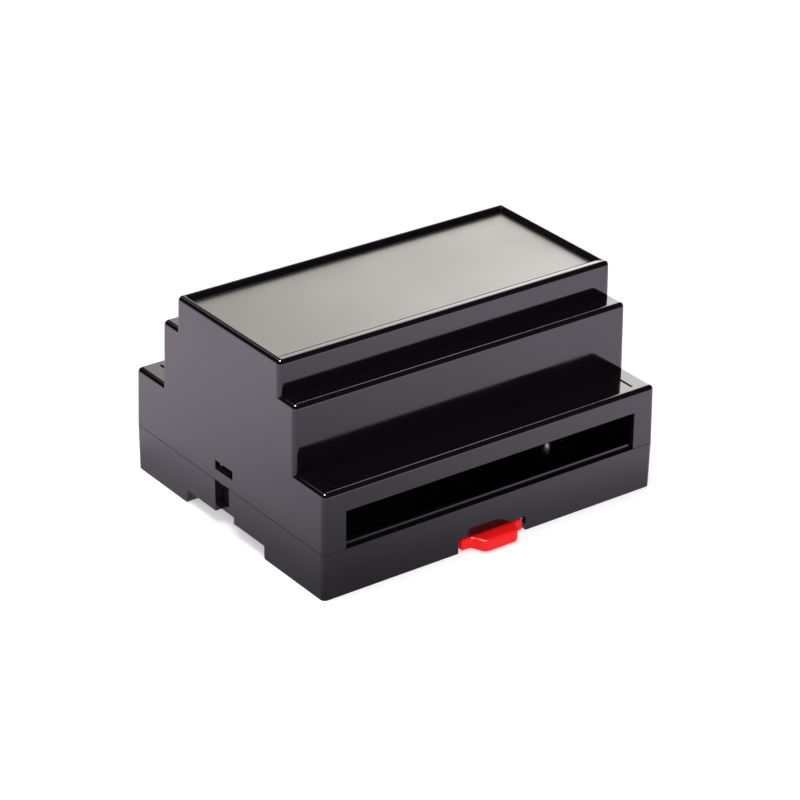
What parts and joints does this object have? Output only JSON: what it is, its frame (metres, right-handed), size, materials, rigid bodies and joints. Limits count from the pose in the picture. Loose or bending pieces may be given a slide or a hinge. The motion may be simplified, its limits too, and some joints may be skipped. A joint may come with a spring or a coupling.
{
  "type": "DIN rail enclosure",
  "caption": "Stepped plastic housing that clips onto a 35 mm mounting rail, with long terminal openings, a recessed front plate and a sliding rail clip.",
  "frame": {"origin": "middle of the rail seat: halfway along the housing, halfway across the rail channel, on the face that lies on the rail", "axes": "+X along the rail, +Y from the clip side to the fixed hooks, +Z from the rail to the front plate"},
  "size_m": [0.107, 0.0911, 0.0587],
  "materials": {
    "housing": "polished black moulding",
    "plate": "fine satin black",
    "clip": "satin red moulding"
  },
  "bodies": {
    "housing": {"base": "housing", "cover": "housing", "front_plate": "plate"},
    "clip": {"rail_clip": "clip"}
  },
  "joints": [
    {"name": "clip_slide", "type": "slide", "parent": "housing", "child": "clip", "axis": [0, -1, 0], "range_m": [0, 0.004]}
  ]
}
